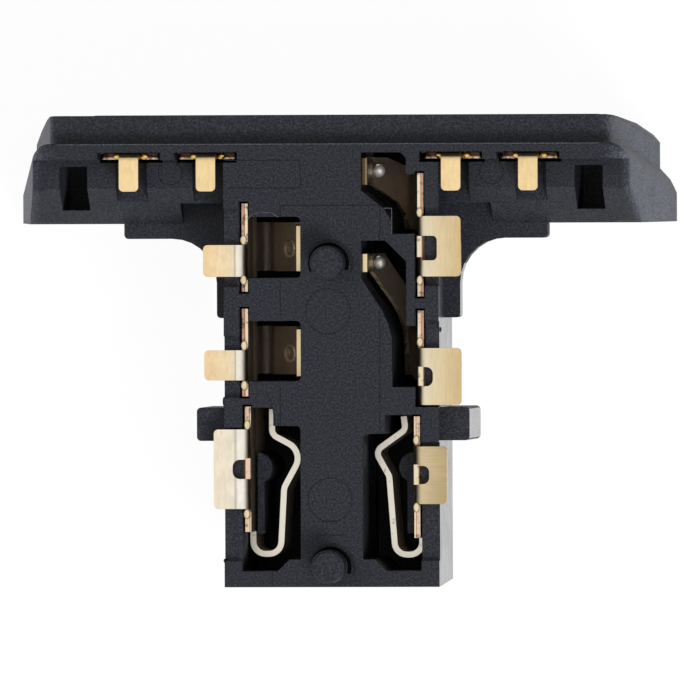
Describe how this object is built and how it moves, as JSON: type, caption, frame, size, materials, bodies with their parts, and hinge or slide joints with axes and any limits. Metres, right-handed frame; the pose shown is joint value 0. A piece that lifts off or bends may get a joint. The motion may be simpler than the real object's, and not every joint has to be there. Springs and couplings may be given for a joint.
{
  "type": "audio jack socket",
  "caption": "Board-mounted 3.5 mm audio jack socket with a wide flange, an accessory port round its mouth, moulded body, posts and folded spring contacts.",
  "frame": {"origin": "centre of the bounding box's floor, on the component side", "axes": "+Y out of the plug mouth, +Z out of the board side, towards the circuit board"},
  "size_m": [0.0238, 0.017, 0.0098],
  "materials": {
    "housing": "fine matt mould texture",
    "ring_contact_left_front": "gold flash on stamped spring bronze",
    "ring_contact_left_rear": "gold flash on stamped spring bronze",
    "sleeve_contact_right_front": "gold flash on stamped spring bronze",
    "ring_contact_right_rear": "gold flash on stamped spring bronze",
    "tip_contact_left": "gold flash on stamped spring bronze",
    "tip_contact_right": "gold flash on stamped spring bronze",
    "port_pad_contact_1": "gold flash on stamped spring bronze",
    "port_pad_contact_2": "gold flash on stamped spring bronze",
    "port_pad_contact_3": "gold flash on stamped spring bronze",
    "port_pad_contact_4": "gold flash on stamped spring bronze"
  },
  "bodies": {
    "root": {"housing": "housing", "ring_contact_left_front": "ring_contact_left_front", "ring_contact_left_rear": "ring_contact_left_rear", "sleeve_contact_right_front": "sleeve_contact_right_front", "ring_contact_right_rear": "ring_contact_right_rear", "tip_contact_left": "tip_contact_left", "tip_contact_right": "tip_contact_right", "port_pad_contact_1": "port_pad_contact_1", "port_pad_contact_2": "port_pad_contact_2", "port_pad_contact_3": "port_pad_contact_3", "port_pad_contact_4": "port_pad_contact_4"}
  },
  "joints": []
}
